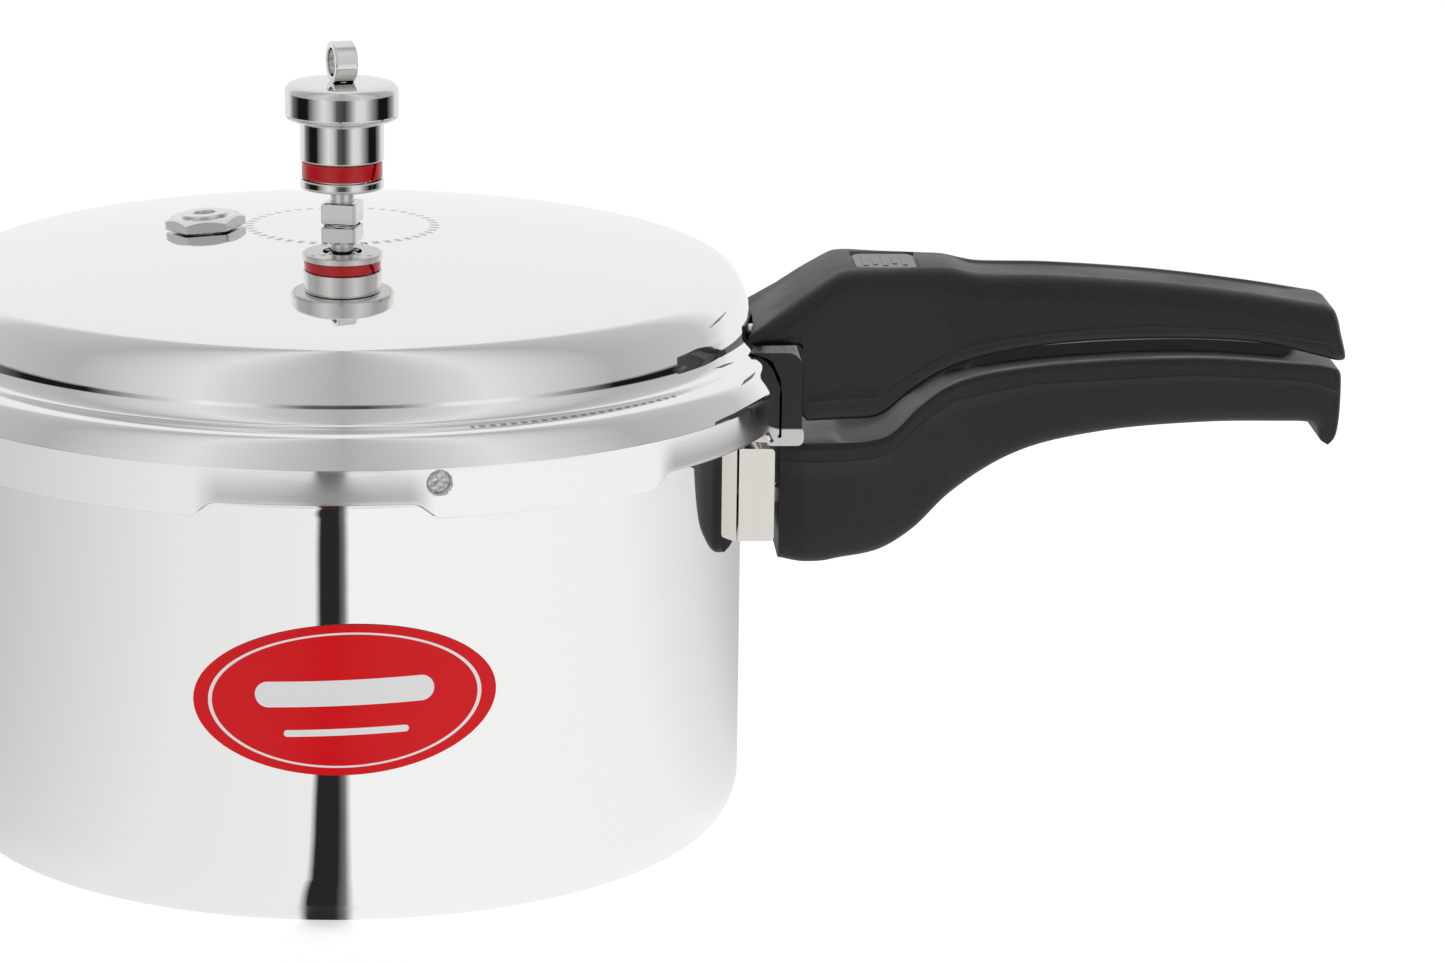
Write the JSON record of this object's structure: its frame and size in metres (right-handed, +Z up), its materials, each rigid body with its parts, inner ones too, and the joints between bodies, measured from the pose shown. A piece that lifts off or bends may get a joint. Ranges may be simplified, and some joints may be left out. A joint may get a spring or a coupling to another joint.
{
  "type": "stovetop pressure cooker",
  "caption": "Aluminium stovetop pressure cooker with a twist-locking outer lid, two stacked black handles, a vent weight and a safety plug.",
  "frame": {"origin": "centre of the pot's base, on the face it rests on", "axes": "+Z up along the pot's axis; +X from the axis towards the ends of the handles with the lid closed; the front, with the label, faces -Y"},
  "size_m": [0.3525, 0.216, 0.1928],
  "materials": {
    "polished_aluminium": "mirror polished",
    "polished_steel": "polished stainless steel",
    "plated_steel": "nickel plated, turned",
    "brass": "turned",
    "black_phenolic": "moulded, fine grained",
    "red_plastic": "gloss",
    "red_label": "coated label",
    "grey_rubber": "moulded",
    "fusible_alloy": "cast, dull",
    "silver_badge": "satin"
  },
  "bodies": {
    "pot": {"pot_body": "polished_aluminium", "body_bracket": "polished_steel", "body_bracket_rivet_1": "plated_steel", "body_bracket_rivet_2": "plated_steel", "body_handle": "black_phenolic", "body_handle_screw": "plated_steel", "body_handle_washer": "plated_steel", "body_handle_insert": "brass", "body_label": "red_label"},
    "lid": {"lid_shell": "polished_aluminium", "lid_gasket": "grey_rubber", "stop_rivet": "polished_aluminium", "lid_bracket": "polished_steel", "lid_bracket_rivet_1": "plated_steel", "lid_bracket_rivet_2": "plated_steel", "lid_handle": "black_phenolic", "lid_handle_screw": "plated_steel", "lid_handle_washer": "plated_steel", "lid_handle_insert": "brass", "handle_badge": "silver_badge", "vent_tube": "plated_steel", "vent_washer": "plated_steel", "vent_nut": "plated_steel", "safety_plug_body": "plated_steel", "safety_plug_slug": "fusible_alloy", "safety_plug_washer": "plated_steel", "safety_plug_nut": "plated_steel"},
    "weight_holder": {"weight_clip": "plated_steel"},
    "weight": {"weight_body": "polished_steel", "weight_ring": "red_plastic", "weight_cap": "polished_steel", "weight_needle": "plated_steel", "finger_loop": "polished_steel"}
  },
  "joints": [
    {"name": "lid_turn", "type": "hinge", "parent": "pot", "child": "lid", "pos_m": [0, 0, 0.1145], "axis": [0, 0, 1], "range_deg": [-32.5, 0]},
    {"name": "weight_lift", "type": "slide", "parent": "lid", "child": "weight_holder", "axis": [0, 0, 1], "range_m": [0, 0.03]},
    {"name": "weight_spin", "type": "hinge", "parent": "weight_holder", "child": "weight", "pos_m": [0, 0, 0.1575], "axis": [0, 0, 1], "continuous": true}
  ]
}
